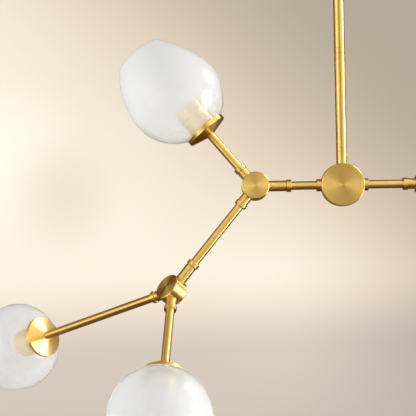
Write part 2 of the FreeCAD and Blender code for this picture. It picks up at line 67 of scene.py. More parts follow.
# ------------------------------------------------------------------ the light's skeleton
@dataclass(frozen=True)
class Skeleton:
    """Lengths and turns that place every hub and lamp end, in metres and degrees."""

    center_z: float = -0.5788
    left_arm: float = 0.130
    right_arm: float = 0.129
    mid_arm: float = 0.199
    branch: float = 50.5
    left_turns: tuple[float, float] = (6.6, 55.0)
    right_turns: tuple[float, float] = (-80.0, -55.0)
    reaches: dict[Place, float] = field(
        default_factory=lambda: {Place.UPPER: 0.1025, Place.FAR: 0.282, Place.FRONT: 0.1493})

    def center(self) -> Matrix:
        """Frame of the centre hub."""
        return Matrix.Translation((0.0, 0.0, self.center_z))

    def inner(self, side: Side) -> Matrix:
        """Frame of an inner hub, X away from the centre.

        Args:
            side: the half of the light.

        Returns:
            The hub's frame in the object's own axes.
        """
        left = side is Side.LEFT
        flip = turn("Y" if left else "X", 180.0)
        reach = -self.left_arm if left else self.right_arm
        spin = (self.left_turns if left else self.right_turns)[0]
        return Matrix.Translation((reach, 0.0, self.center_z)) @ flip @ turn("X", spin)

    def outer(self, side: Side) -> Matrix:
        """Frame of an outer hub, X along the mid arm.

        Args:
            side: the half of the light.

        Returns:
            The hub's frame in the object's own axes.
        """
        spin = (self.left_turns if side is Side.LEFT else self.right_turns)[1]
        along = Matrix.Translation((self.mid_arm, 0.0, 0.0))
        return self.inner(side) @ turn("Y", -self.branch) @ along @ turn("X", spin)

    def port(self, hub: Matrix, angle: float) -> Matrix:
        """Frame at a hub's centre whose Z leaves by a port.

        Args:
            hub: the hub's frame.
            angle: degrees from the hub's X towards its Z.

        Returns:
            The port's frame.
        """
        return hub @ turn("Y", 90.0 - angle)

    def lamp(self, side: Side, place: Place) -> Matrix:
        """Frame at the back of a lamp end's dish, Z away from the hub.

        Args:
            side: the half of the light.
            place: which of its lamp ends.

        Returns:
            The dish's frame.
        """
        hub = self.inner(side) if place is Place.UPPER else self.outer(side)
        angle = self.branch if place is Place.FRONT else -self.branch
        return self.port(hub, angle) @ Matrix.Translation((0.0, 0.0, self.reaches[place]))


def turn(axis: str, degrees: float) -> Matrix:
    """Rotation about one axis."""
    return Matrix.Rotation(math.radians(degrees), 4, axis)


# ------------------------------------------------------------------ shader building
class NodeBoard:
    """Adds and links shader nodes in one tree."""

    def __init__(self, tree: bpy.types.NodeTree) -> None:
        """Keep the tree that every node goes into."""
        self.tree = tree

    def add(self, kind: str, **settings: object) -> bpy.types.Node:
        """Add a node.

        Args:
            kind: the node's type name.
            settings: properties of the node, such as its operation.

        Returns:
            The new node.
        """
        node = self.tree.nodes.new(kind)
        for name, value in settings.items():
            setattr(node, name, value)
        return node

    def put(self, target: Socket, value: object) -> None:
        """Link a socket to the target, or set the target to a plain value."""
        if isinstance(value, bpy.types.NodeSocket):
            self.tree.links.new(value, target)
        elif isinstance(value, (tuple, Vector)) and target.type == "RGBA" and len(value) == 3:
            target.default_value = (*value, 1.0)
        else:
            target.default_value = value

    def math(self, operation: str, *values: object, clamp: bool = False) -> Socket:
        """Number worked out from numbers or sockets.

        Args:
            operation: the Math node's operation.
            values: its inputs in order.
            clamp: keep the result between 0 and 1.

        Returns:
            The result's socket.
        """
        node = self.add("ShaderNodeMath", operation=operation, use_clamp=clamp)
        for target, value in zip(node.inputs, values):
            self.put(target, value)
        return node.outputs[0]

    def vector(self, operation: str, *values: object) -> bpy.types.Node:
        """Vector Math node with its inputs set.

        Args:
            operation: the node's operation.
            values: its inputs in order.

        Returns:
            The node, whose Vector or Value output is then used.
        """
        node = self.add("ShaderNodeVectorMath", operation=operation)
        for target, value in zip(node.inputs, values):
            self.put(target, value)
        return node

    def blend(self, kind: str, factor: object, first: object, second: object) -> Socket:
        """Mix of two colours, numbers or vectors.

        Args:
            kind: RGBA, FLOAT or VECTOR.
            factor: share of the second.
            first: value at factor 0.
            second: value at factor 1.

        Returns:
            The mixed value's socket.
        """
        node = self.add("ShaderNodeMix", data_type=kind)
        slots = {"FLOAT": (2, 3, 0), "VECTOR": (4, 5, 1), "RGBA": (6, 7, 2)}[kind]
        self.put(node.inputs[0], factor)
        self.put(node.inputs[slots[0]], first)
        self.put(node.inputs[slots[1]], second)
        return node.outputs[slots[2]]

    def spread(self, value: object, low: float, high: float,
               to_low: float, to_high: float) -> Socket:
        """Smooth step of a value from one range to another.

        Args:
            value: the number to map.
            low: where the step starts.
            high: where it ends.
            to_low: result up to the start.
            to_high: result from the end on.

        Returns:
            The mapped number's socket.
        """
        node = self.add("ShaderNodeMapRange", interpolation_type="SMOOTHSTEP")
        for target, item in zip(node.inputs, (value, low, high, to_low, to_high)):
            self.put(target, item)
        return node.outputs[0]

    def local(self, point: Socket, place: Matrix) -> Socket:
        """Coordinates of a point in the axes of a frame.

        Args:
            point: the point in the object's coordinates.
            place: the frame.

        Returns:
            The socket of the local coordinates.
        """
        away = self.vector("SUBTRACT", point, place.translation).outputs["Vector"]
        inside = self.add("ShaderNodeCombineXYZ")
        for target, axis in zip(inside.inputs, place.to_3x3().transposed()):
            self.put(target, self.vector("DOT_PRODUCT", away, axis).outputs["Value"])
        return inside.outputs[0]

    def noise(self, where: object, scale: float, detail: float = 2.0,
              roughness: float = 0.5) -> Socket:
        """Soft random pattern between 0 and 1.

        Args:
            where: coordinates.
            scale: waves per metre.
            detail: octaves.
            roughness: strength of the finer octaves.

        Returns:
            The pattern's socket.
        """
        node = self.add("ShaderNodeTexNoise", noise_dimensions="3D")
        self.put(node.inputs["Vector"], where)
        node.inputs["Scale"].default_value = scale
        node.inputs["Detail"].default_value = detail
        node.inputs["Roughness"].default_value = roughness
        return node.outputs[0]


def turning_axis_group() -> bpy.types.NodeTree:
    """Group that gives a point's place about a lathe axis and the direction of the tool marks.

    Returns:
        The group's tree, made once and then shared.
    """
    name = "turning_axis"
    if name in bpy.data.node_groups:
        return bpy.data.node_groups[name]
    tree = bpy.data.node_groups.new(name, "ShaderNodeTree")
    for label in ("Centre", "Axis"):
        tree.interface.new_socket(label, in_out="INPUT", socket_type="NodeSocketVector")
    for label, kind in (("Radius", "NodeSocketFloat"), ("Height", "NodeSocketFloat"),
                        ("Around", "NodeSocketVector"), ("Toward", "NodeSocketFloat")):
        tree.interface.new_socket(label, in_out="OUTPUT", socket_type=kind)
    board = NodeBoard(tree)
    given, result = board.add("NodeGroupInput"), board.add("NodeGroupOutput")
    point = board.add("ShaderNodeTexCoord").outputs["Object"]
    away = board.vector("SUBTRACT", point, given.outputs[0]).outputs["Vector"]
    height = board.vector("DOT_PRODUCT", away, given.outputs[1]).outputs["Value"]
    along = board.vector("SCALE", given.outputs[1])
    board.put(along.inputs["Scale"], height)
    across = board.vector("SUBTRACT", away, along.outputs["Vector"]).outputs["Vector"]
    unit = board.vector("NORMALIZE", away).outputs["Vector"]
    board.put(result.inputs[0], board.vector("LENGTH", across).outputs["Value"])
    board.put(result.inputs[1], height)
    board.put(result.inputs[2], board.vector("CROSS_PRODUCT", given.outputs[1], away).outputs["Vector"])
    board.put(result.inputs[3], board.vector("DOT_PRODUCT", unit, given.outputs[1]).outputs["Value"])
    return tree


@dataclass(frozen=True)
class TurnedAxes:
    """Lathe axes of one node: a main axis and, for a hub, the ports that leave it."""

    centre: tuple[float, float, float]
    main: tuple[float, float, float]
    ports: tuple[tuple[float, float, float], ...] = ()
    drum_radius: float = 0.0
    port_reach: float = 0.82
    skin: float = 0.05 * MM

    @classmethod
    def along(cls, place: Matrix) -> "TurnedAxes":
        """Single axis along the Z of a frame."""
        return cls(tuple(place.translation), tuple(place.to_3x3() @ Vector((0, 0, 1))))

    @classmethod
    def star(cls, hub: Matrix, ports: list[Matrix], drum_radius: float = 0.0) -> "TurnedAxes":
        """Axes of a hub and its ports.

        Args:
            hub: the hub's frame, with its flat face across Y.
            ports: frames whose Z leaves by each port.
            drum_radius: the drum's outer radius, or 0 for pieces that lie on the ports alone.

        Returns:
            The axes.
        """
        return cls(tuple(hub.translation), tuple(hub.to_3x3() @ Vector((0, 1, 0))),
                   tuple(tuple(port.to_3x3() @ Vector((0, 0, 1))) for port in ports), drum_radius)

    def marks(self, board: NodeBoard) -> tuple[Socket, Socket]:
        """Coordinates of the tool marks and their direction.

        Args:
            board: the material's nodes.

        Returns:
            A coordinate that changes across the marks only, and the direction along them.
        """
        main = self._axis(board, self.main)
        ring = self._ring(board, main)
        around = main.outputs["Around"]
        outside = board.math("GREATER_THAN", main.outputs["Radius"], self.drum_radius + self.skin)
        for direction in self.ports:
            port = self._axis(board, direction)
            near = board.math("GREATER_THAN", port.outputs["Toward"], self.port_reach)
            here = board.math("MULTIPLY", near, outside)
            around = board.blend("VECTOR", here, around, port.outputs["Around"])
            ring = board.blend("VECTOR", here, ring, self._ring(board, port))
        world = board.add("ShaderNodeVectorTransform", vector_type="VECTOR",
                          convert_from="OBJECT", convert_to="WORLD")
        board.put(world.inputs[0], around)
        return ring, world.outputs[0]

    def _axis(self, board: NodeBoard, direction: tuple[float, float, float]) -> bpy.types.Node:
        """Turning group about one direction through the centre."""
        node = board.add("ShaderNodeGroup", node_tree=turning_axis_group())
        board.put(node.inputs["Centre"], self.centre)
        board.put(node.inputs["Axis"], direction)
        return node

    def _ring(self, board: NodeBoard, axis: bpy.types.Node) -> Socket:
        """Radius and height about one axis, as a vector."""
        pair = board.add("ShaderNodeCombineXYZ")
        board.put(pair.inputs[0], axis.outputs["Radius"])
        board.put(pair.inputs[1], axis.outputs["Height"])
        return pair.outputs[0]


@dataclass(frozen=True)
class MetalFinish:
    """Turned metal with fine circular tool marks under a thin lacquer."""

    name: str
    base: Colour
    deep: Colour
    edge_tint: Colour
    roughness: float
    streak: float
    anisotropy: float
    lacquer: float
    marks_per_metre: float = 2600.0
    bands_per_mark: float = 0.12
    mark_depth: float = 0.06
    mark_height: float = 0.1 * MM
    turn_across_marks: float = 0.25
    cloud_waves: float = 38.0
    cloud_share: float = 0.55
    band_share: float = 0.20
    handling_waves: float = 11.0
    handling_roughness: float = 0.05
    lacquer_roughness: float = 0.12

    def material(self, piece: str, axes: TurnedAxes) -> bpy.types.Material:
        """Material for one piece.

        Args:
            piece: the piece's name.
            axes: the lathe axes of the piece.

        Returns:
            The new material.
        """
        made = bpy.data.materials.new(f"{self.name}_{piece}")
        made.use_nodes = True
        made.diffuse_color = (*self.base, 1.0)
        board = NodeBoard(made.node_tree)
        shader = made.node_tree.nodes["Principled BSDF"]
        point = board.add("ShaderNodeTexCoord").outputs["Object"]
        ring, around = axes.marks(board)
        marks = board.noise(ring, self.marks_per_metre, 3.0, 0.65)
        bands = board.noise(ring, self.marks_per_metre * self.bands_per_mark, 2.0)
        cloud = board.noise(point, self.cloud_waves, 3.0)
        handled = board.noise(point, self.handling_waves, 2.0)
        tone = board.math("ADD", board.spread(cloud, 0.35, 0.70, 0.0, self.cloud_share),
                          board.spread(bands, 0.35, 0.75, 0.0, self.band_share))
        board.put(shader.inputs["Base Color"], board.blend("RGBA", tone, self.base, self.deep))
        rough = board.math("MULTIPLY_ADD", marks, self.streak, self.roughness - self.streak / 2)
        rough = board.math("ADD", rough, board.spread(handled, 0.40, 0.75, 0.0, self.handling_roughness))
        board.put(shader.inputs["Roughness"], rough)
        shader.inputs["Metallic"].default_value = 1.0
        shader.inputs["Specular Tint"].default_value = (*self.edge_tint, 1.0)
        shader.inputs["Anisotropic"].default_value = self.anisotropy
        shader.inputs["Anisotropic Rotation"].default_value = self.turn_across_marks
        shader.inputs["Coat Weight"].default_value = self.lacquer
        shader.inputs["Coat Roughness"].default_value = self.lacquer_roughness
        board.put(shader.inputs["Tangent"], around)
        bump = board.add("ShaderNodeBump")
        bump.inputs["Strength"].default_value = self.mark_depth
        bump.inputs["Distance"].default_value = self.mark_height
        board.put(bump.inputs["Height"], marks)
        board.put(shader.inputs["Normal"], bump.outputs[0])
        return made


@dataclass(frozen=True)
class CeramicFinish:
    """Matt moulded socket material."""

    name: str = "socket_ceramic"
    base: Colour = (0.80, 0.78, 0.73)
    speck: Colour = (0.68, 0.66, 0.60)
    grain_waves: float = 900.0
    grain_depth: float = 0.15
    grain_height: float = 0.1 * MM
    roughness: float = 0.42
    roughness_swing: float = 0.15

    def material(self, piece: str) -> bpy.types.Material:
        """Material for one socket.

        Args:
            piece: the piece's name.

        Returns:
            The new material.
        """
        made = bpy.data.materials.new(f"{self.name}_{piece}")
        made.use_nodes = True
        board = NodeBoard(made.node_tree)
        shader = made.node_tree.nodes["Principled BSDF"]
        point = board.add("ShaderNodeTexCoord").outputs["Object"]
        grain = board.noise(point, self.grain_waves, 3.0)
        specks = board.spread(grain, 0.55, 0.75, 0.0, 1.0)
        board.put(shader.inputs["Base Color"], board.blend("RGBA", specks, self.base, self.speck))
        rough = board.math("MULTIPLY_ADD", grain, self.roughness_swing, self.roughness)
        board.put(shader.inputs["Roughness"], rough)
        bump = board.add("ShaderNodeBump")
        bump.inputs["Strength"].default_value = self.grain_depth
        bump.inputs["Distance"].default_value = self.grain_height
        board.put(bump.inputs["Height"], grain)
        board.put(shader.inputs["Normal"], bump.outputs[0])
        return made


@dataclass(frozen=True)
class OpalGlassFinish:
    """Clear blown glass with a milky layer that thickens from the neck to the end."""

    name: str = "opal_glass"
    milk: Colour = (0.95, 0.96, 0.975)
    clear: Colour = (0.985, 0.99, 0.99)
    neck_milk: float = 0.24
    end_milk: float = 0.76
    milk_from: float = 22.0 * MM
    milk_to: float = 100.0 * MM
    swirl_waves: float = 14.0
    swirl_reach: float = 24.0 * MM
    glow_share: float = 0.45
    clear_light: float = 0.97
    milk_light_loss: float = 0.55
    refraction: float = 1.45

    def material(self, piece: str, place: Matrix) -> bpy.types.Material:
        """Material for one bubble.

        Args:
            piece: the piece's name.
            place: the bubble's frame, whose Z is its axis.

        Returns:
            The new material.
        """
        made = bpy.data.materials.new(f"{self.name}_{piece}")
        made.use_nodes = True
        made.diffuse_color = (*self.milk, 0.5)
        board = NodeBoard(made.node_tree)
        clear = made.node_tree.nodes["Principled BSDF"]
        out = made.node_tree.nodes["Material Output"]
        point = board.local(board.add("ShaderNodeTexCoord").outputs["Object"], place)
        split = board.add("ShaderNodeSeparateXYZ")
        board.put(split.inputs[0], point)
        swirl = board.noise(point, self.swirl_waves, 2.0)
        height = board.math("MULTIPLY_ADD", swirl, self.swirl_reach, split.outputs["Z"])
        mean = self.swirl_reach / 2
        milk_share = board.spread(height, self.milk_from + mean, self.milk_to + mean,
                                  self.neck_milk, self.end_milk)
        clear.inputs["Base Color"].default_value = (*self.clear, 1.0)
        clear.inputs["Transmission Weight"].default_value = 1.0
        clear.inputs["IOR"].default_value = self.refraction
        board.put(clear.inputs["Roughness"], board.spread(swirl, 0.3, 0.8, 0.0, 0.05))
        white = board.add("ShaderNodeBsdfPrincipled")
        white.inputs["Base Color"].default_value = (*self.milk, 1.0)
        white.inputs["IOR"].default_value = self.refraction
        board.put(white.inputs["Roughness"], board.spread(swirl, 0.3, 0.8, 0.10, 0.20))
        glow = board.add("ShaderNodeBsdfTranslucent")
        glow.inputs["Color"].default_value = (*self.milk, 1.0)
        layer = board.add("ShaderNodeMixShader")
        layer.inputs[0].default_value = self.glow_share
        board.put(layer.inputs[1], white.outputs[0])
        board.put(layer.inputs[2], glow.outputs[0])
        body = board.add("ShaderNodeMixShader")
        board.put(body.inputs[0], milk_share)
        board.put(body.inputs[1], clear.outputs[0])
        board.put(body.inputs[2], layer.outputs[0])
        ray = board.add("ShaderNodeLightPath")
        open_share = board.math("MULTIPLY_ADD", milk_share, -self.milk_light_loss, self.clear_light)
        see_through = board.add("ShaderNodeBsdfTransparent")
        let_light = board.add("ShaderNodeMixShader")
        board.put(let_light.inputs[0], board.math("MULTIPLY", ray.outputs["Is Shadow Ray"], open_share))
        board.put(let_light.inputs[1], body.outputs[0])
        board.put(let_light.inputs[2], see_through.outputs[0])
        board.put(out.inputs["Surface"], let_light.outputs[0])
        return made


BRASS = MetalFinish("satin_brass", base=(0.95, 0.71, 0.32), deep=(0.90, 0.62, 0.23),
                    edge_tint=(0.62, 0.46, 0.26), roughness=0.33, streak=0.03, anisotropy=0.85,
                    lacquer=0.05, mark_depth=0.004)
POLISHED_BRASS = MetalFinish("spun_brass", base=(0.97, 0.73, 0.33), deep=(0.93, 0.65, 0.24),
                             edge_tint=(0.62, 0.46, 0.26), roughness=0.29, streak=0.03, anisotropy=0.85,
                             lacquer=0.06, mark_depth=0.004)
STEEL = MetalFinish("zinc_steel", base=(0.66, 0.66, 0.65), deep=(0.52, 0.53, 0.54),
                    edge_tint=(0.9, 0.9, 0.9), roughness=0.38, streak=0.14, anisotropy=0.35,
                    lacquer=0.0, marks_per_metre=1500.0)
CERAMIC = CeramicFinish()
OPAL = OpalGlassFinish()


# ------------------------------------------------------------------ mesh building
def turned_mesh(name: str, outline: Profile, segments: int,
                sharp_angle: float = 35.0) -> bpy.types.Mesh:
    """Closed mesh turned about Z from a closed outline.

    Args:
        name: the mesh's name.
        outline: (radius, height) points, counter-clockwise seen from +Y; points on the axis become poles.
        segments: faces round the axis.
        sharp_angle: edges steeper than this, in degrees, stay sharp.

    Returns:
        The new mesh, smooth elsewhere.
    """
    work = bmesh.new()
    rings: list[list[bmesh.types.BMVert]] = []
    for radius, height in outline:
        if radius < ON_AXIS:
            rings.append([work.verts.new((0.0, 0.0, height))])
            continue
        rings.append([work.verts.new((radius * math.cos(angle), radius * math.sin(angle), height))
                      for angle in (2 * math.pi * k / segments for k in range(segments))])
    for first, second in zip(rings, rings[1:] + rings[:1]):
        if len(first) == 1 and len(second) == 1:
            continue
        for k in range(segments):
            n = (k + 1) % segments
            corners = [first[k % len(first)], first[n % len(first)],
                       second[n % len(second)], second[k % len(second)]]
            work.faces.new(list(dict.fromkeys(corners)))
    bmesh.ops.recalc_face_normals(work, faces=work.faces)
    mesh = bpy.data.meshes.new(name)
    work.to_mesh(mesh)
    work.free()
    mesh.shade_smooth()
    mesh.set_sharp_from_angle(angle=math.radians(sharp_angle))
    return mesh


def place_piece(name: str, mesh: bpy.types.Mesh, place: Matrix, body: str,
                material: bpy.types.Material, stands_for: str | None = None) -> bpy.types.Object:
    """Put a new piece in the scene and tie it to its body.

    Args:
        name: the piece's name.
        mesh: its mesh in its own axes.
        place: where those axes stand; it goes into the mesh, and the object stays at the origin.
        body: the CAD body that it moves with.
        material: its finish.
        stands_for: the CAD node that it replaces, if any.

    Returns:
        The new object.
    """
    piece = bpy.data.objects.new(name, mesh)
    bpy.context.scene.collection.objects.link(piece)
    mesh.transform(place)
    mesh.materials.append(material)
    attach(piece, body)
    if stands_for:
        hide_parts(stands_for)
    LOG.info("piece %s on %s: %d faces", name, body, len(mesh.polygons))
    return piece


def dress(node: str, material: bpy.types.Material) -> None:
    """Give a CAD node its finish.

    Args:
        node: the node's name.
        material: the finish for all its faces.
    """
    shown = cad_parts[node]
    shown.data.materials.clear()
    shown.data.materials.append(material)
    LOG.info("node %s dressed in %s", node, material.name)


# ------------------------------------------------------------------ blown glass
@dataclass(frozen=True)
class Dent:
    """A soft hollow pressed into hot glass, in degrees and metres; a negative depth is a swelling."""

    angle: float
    height: float
    reach: float
    depth: float


@dataclass(frozen=True)
class Bubble:
    """A blown bubble with a short neck, in metres about its dish's back.

    The outline runs in four arcs: bowl, side, shoulder edge and end. Ovality, lean and dents are
    pressed in afterwards, and ease in above the neck so that the neck keeps its seat.
    """

    radius: float = 72.5 * MM
    length: float = 155.5 * MM
    widest: float = 64.0 * MM
    wall: float = 2.5 * MM
    foot_radius: float = 30.0 * MM
    neck_radius: float = 28.5 * MM
    shoulder: tuple[float, float] = (38.5 * MM, 150.5 * MM)
    end_radius: float = 150.725 * MM
    edge_radius: float = 16.0 * MM
    foot_height: float = 0.3 * MM
    neck_end: float = -5.2 * MM
    rim: float = 13.5 * MM
    segments: int = 112
    arc_steps: tuple[int, int, int, int] = (22, 20, 9, 12)
    sharp_angle: float = 60.0
    foot_drop: float = 0.4 * MM
    inner_foot: float = 0.4
    bore_margin: float = 0.8 * MM
    ease_from: float = 3.0 * MM
    ease_to: float = 26.0 * MM
    heart_rise: float = 6.0 * MM
    tip_reach: float = 3.0 * MM
    dents: tuple[Dent, ...] = ()
    oval: float = 0.012
    oval_angle: float = 20.0
    lean: float = 0.0
    lean_angle: float = 0.0

    def build(self, name: str) -> bpy.types.Mesh:
        """Mesh of the bubble.

        Args:
            name: the mesh's name.

        Returns:
            A closed shell with its dents pressed in.
        """
        outer, inner = self._surfaces()
        outline = [(self.neck_radius - self.wall, self.neck_end), (self.neck_radius, self.neck_end),
                   (self.neck_radius, self.foot_height - self.foot_drop)]
        outline += outer + list(reversed(inner))
        outline = [(radius, height + self.rim) for radius, height in outline]
        mesh = turned_mesh(name, outline, self.segments, self.sharp_angle)
        for vertex in mesh.vertices:
            vertex.co = self._pressed(vertex.co)
        mesh.update()
        return mesh

    def _surfaces(self) -> tuple[Profile, Profile]:
        """Outer outline from the foot to the tip, and the inner one beside it, a wall's thickness in."""
        rise, over = self.widest - self.foot_height, self.shoulder[1] - self.widest
        bowl = ((self.radius - self.foot_radius) ** 2 + rise ** 2) / (2 * (self.radius - self.foot_radius))
        side = ((self.radius - self.shoulder[0]) ** 2 + over ** 2) / (2 * (self.radius - self.shoulder[0]))
        bowl_c, side_c = (self.radius - bowl, self.widest), (self.radius - side, self.widest)
        end_c = (0.0, self.length - self.end_radius)
        edge_c = self._crossing(side_c, side - self.edge_radius, end_c, self.end_radius - self.edge_radius)
        side_top = math.atan2(edge_c[1] - side_c[1], edge_c[0] - side_c[0])
        end_low = math.atan2(edge_c[1] - end_c[1], edge_c[0] - end_c[0])
        low = -math.asin(rise / bowl)
        arcs = ((bowl_c, bowl, low, 0.0), (side_c, side, 0.0, side_top),
                (edge_c, self.edge_radius, side_top, end_low),
                (end_c, self.end_radius, end_low, math.pi / 2))
        outer: Profile = []
        inner: Profile = []
        for ((x, z), radius, start, stop), steps in zip(arcs, self.arc_steps):
            for step in range(steps):
                angle = start + (stop - start) * step / steps
                cos, sin = math.cos(angle), math.sin(angle)
                outer.append((x + radius * cos, z + radius * sin))
                inner.append((x + (radius - self.wall) * cos, z + (radius - self.wall) * sin))
        outer.append((0.0, self.length))
        inner.append((0.0, self.length - self.wall))
        bore = self.neck_radius - self.wall
        clear = [point for point in inner
                 if point[0] > bore + self.bore_margin or point[1] > self.widest]
        return outer, [(bore, self.foot_height + self.wall * self.inner_foot)] + clear

    def _crossing(self, first: tuple[float, float], r1: float, second: tuple[float, float],
                  r2: float) -> tuple[float, float]:
        """Outer crossing of two circles.

        Args:
            first: centre of the first.
            r1: its radius.
            second: centre of the second.
            r2: its radius.

        Returns:
            The crossing farther from the axis.
        """
        dx, dz = second[0] - first[0], second[1] - first[1]
        gap = math.hypot(dx, dz)
        along = (r1 ** 2 - r2 ** 2 + gap ** 2) / (2 * gap)
        off = math.sqrt(max(0.0, r1 ** 2 - along ** 2))
        x, z = first[0] + along * dx / gap, first[1] + along * dz / gap
        choices = [(x - off * dz / gap, z + off * dx / gap), (x + off * dz / gap, z - off * dx / gap)]
        return max(choices)

    def _pressed(self, point: Vector) -> Vector:
        """A point moved by the bubble's ovality, lean and dents."""
        height = point.z - self.rim
        ease = smooth_step(height, self.ease_from, self.ease_to)
        if ease <= 0.0:
            return point
        angle = math.atan2(point.y, point.x)
        swell = 1.0 - self.oval * ease * (1.0 - math.cos(2 * (angle - math.radians(self.oval_angle)))) / 2
        moved = Vector((point.x * swell, point.y * swell, point.z))
        sag, sag_turn = self.lean * ease * height / self.length, math.radians(self.lean_angle)
        moved += Vector((math.cos(sag_turn), math.sin(sag_turn), 0.0)) * sag
        middle = Vector((0.0, 0.0, self.rim + self.widest + self.heart_rise))
        inward = (middle - point).normalized()
        for dent in self.dents:
            spin = math.radians(dent.angle)
            radius = self._radius_at(dent.height)
            heart = Vector((radius * math.cos(spin), radius * math.sin(spin), self.rim + dent.height))
            fall = math.exp(-((point - heart).length / dent.reach) ** 2)
            moved += inward * (dent.depth * fall * ease)
        return moved

    def _radius_at(self, height: float) -> float:
        """Rough outer radius at a height above the dish's rim."""
        if height >= self.length - self.tip_reach:
            return 0.0
        over = self.shoulder[1] - self.widest
        side = ((self.radius - self.shoulder[0]) ** 2 + over ** 2) / (2 * (self.radius - self.shoulder[0]))
        return self.radius - side + math.sqrt(max(0.0, side ** 2 - (height - self.widest) ** 2))


def smooth_step(value: float, low: float, high: float) -> float:
    """Eased share of the way from low to high."""
    share = min(1.0, max(0.0, (value - low) / (high - low)))
    return share * share * (3 - 2 * share)


# ------------------------------------------------------------------ sub-assemblies
@dataclass(frozen=True)
class CeilingGroup:
    """Crossbar, canopy and hang-straight swivel at the ceiling."""

    pin_z: float = -0.0443

    def build(self) -> None:
        """Dress the ceiling group's nodes."""
        upright = TurnedAxes((0.0, 0.0, 0.0), (0.0, 0.0, 1.0))
        pin = TurnedAxes((0.0, 0.0, self.pin_z), (0.0, 1.0, 0.0))
        for node in ("mounting_bracket", "canopy_studs", "turret_nut"):
            dress(node, STEEL.material(node, upright))
        for node in ("canopy", "canopy_nuts", "swivel_turret", "swivel_knuckle"):
            dress(node, BRASS.material(node, upright))
        dress("swivel_pin", POLISHED_BRASS.material("swivel_pin", pin))


@dataclass(frozen=True)
class Stem:
    """Stem tubes, couplers and the centre hub with its level arms."""

    bones: Skeleton
    hub_radius: float = 32.0 * MM

    def build(self) -> None:
        """Dress the stem's nodes."""
        upright = TurnedAxes((0.0, 0.0, 0.0), (0.0, 0.0, 1.0))
        for node in ("upper_stem_rod", "lower_stem_rod", "stem_couplers"):
            dress(node, BRASS.material(node, upright))
        hub = self.bones.center()
        ports = [self.bones.port(hub, angle) for angle in (0.0, 90.0, 180.0)]
        dress("center_hub", BRASS.material("center_hub", TurnedAxes.star(hub, ports, self.hub_radius)))
        dress("center_hub_cover", BRASS.material("center_hub_cover", TurnedAxes.star(hub, [])))
        level = TurnedAxes.along(ports[0])
        for node in ("left_arm_rod", "right_arm_rod", "arm_collars", "arm_flanges", "arm_swivel_nuts"):
            dress(node, BRASS.material(node, level))


@dataclass(frozen=True)
class BranchHub:
    """One side hub with its cover, collars and the arms that leave it."""

    bones: Skeleton
    side: Side
    outer: bool
    drum_radius: float = 20.5 * MM

    def build(self) -> None:
        """Dress the hub's nodes."""
        side = self.side.value
        hub = self.bones.outer(self.side) if self.outer else self.bones.inner(self.side)
        branch = self.bones.branch
        ports = [self.bones.port(hub, angle) for angle in (branch, -branch, 180.0)]
        where = "outer" if self.outer else "inner"
        plain = TurnedAxes.star(hub, ports)
        turned = {"hub": TurnedAxes.star(hub, ports, self.drum_radius),
                  "hub_cover": TurnedAxes.star(hub, []), "collars": plain}
        for part, axes in turned.items():
            node = f"{side}_{where}_{part}"
            dress(node, BRASS.material(node, axes))
        arms = (("far_lamp_rod", 1), ("front_lamp_rod", 0)) if self.outer else (
            ("upper_lamp_rod", 1), ("mid_rod", 0), ("mid_swivel_nut", 0))
        for arm, port in arms:
            dress(f"{side}_{arm}", BRASS.material(f"{side}_{arm}", TurnedAxes.along(ports[port])))
        if self.outer:
            cups, sockets = f"{side}_outer_cups", f"{side}_outer_sockets"
            dress(cups, POLISHED_BRASS.material(cups, plain))
            dress(sockets, CERAMIC.material(sockets))
        else:
            cup, socket = f"{side}_upper_cup", f"{side}_upper_socket"
            dress(cup, POLISHED_BRASS.material(cup, TurnedAxes.along(ports[1])))
            dress(socket, CERAMIC.material(socket))


@dataclass(frozen=True)
class LampEnd:
    """Dish and blown bubble at the end of a lamp arm."""

    bones: Skeleton
    side: Side
    place: Place
    bubble: Bubble

    def build(self) -> None:
        """Dress the dish and blow the bubble."""
        here = self.bones.lamp(self.side, self.place)
        name = f"{self.side.value}_{self.place.value}"
        dress(f"{name}_dish", POLISHED_BRASS.material(f"{name}_dish", TurnedAxes.along(here)))
        body = "branch" if self.place is Place.UPPER else "end_branch"
        mesh = self.bubble.build(f"{name}_bubble")
        place_piece(f"{name}_bubble", mesh, here, f"{self.side.value}_{body}",
                    OPAL.material(name, here), f"{name}_glass")


def hand_blown() -> dict[tuple[Side, Place], Bubble]:
    """The six bubbles, each with its own dents.

    Returns:
        The bubbles by side and place.
    """
    left, right = Side.LEFT, Side.RIGHT
    return {
        (left, Place.UPPER): Bubble(lean=4.0 * MM, lean_angle=176.0, dents=(
            Dent(100.0, 0.112, 0.040, 0.007), Dent(0.0, 0.108, 0.036, 0.004),
            Dent(5.0, 0.026, 0.030, 0.003), Dent(180.0, 0.060, 0.040, -0.001))),
        (left, Place.FAR): Bubble(dents=(
            Dent(60.0, 0.050, 0.026, 0.005), Dent(200.0, 0.110, 0.040, 0.005),
            Dent(300.0, 0.085, 0.034, 0.004))),
        (left, Place.FRONT): Bubble(dents=(
            Dent(40.0, 0.115, 0.040, 0.005), Dent(250.0, 0.090, 0.038, 0.005))),
        (right, Place.UPPER): Bubble(dents=(
            Dent(20.0, 0.100, 0.040, 0.006), Dent(150.0, 0.120, 0.035, 0.005),
            Dent(270.0, 0.060, 0.036, 0.004))),
        (right, Place.FAR): Bubble(dents=(
            Dent(90.0, 0.105, 0.042, 0.006), Dent(330.0, 0.110, 0.036, 0.005))),
        (right, Place.FRONT): Bubble(dents=(
            Dent(140.0, 0.112, 0.040, 0.006), Dent(280.0, 0.075, 0.036, 0.004))),
    }


# ------------------------------------------------------------------ studio
@dataclass(frozen=True)
class Step:
    """A smooth step: the two ends of the value, and what it gives at each."""

    low: float
    high: float
    at_low: float
    at_high: float

    def of(self, board: NodeBoard, value: object) -> Socket:
        """The step of a value.

        Args:
            board: the nodes it is built in.
            value: the value that runs from low to high.

        Returns:
            The result's socket.
        """
        return board.spread(value, self.low, self.high, self.at_low, self.at_high)


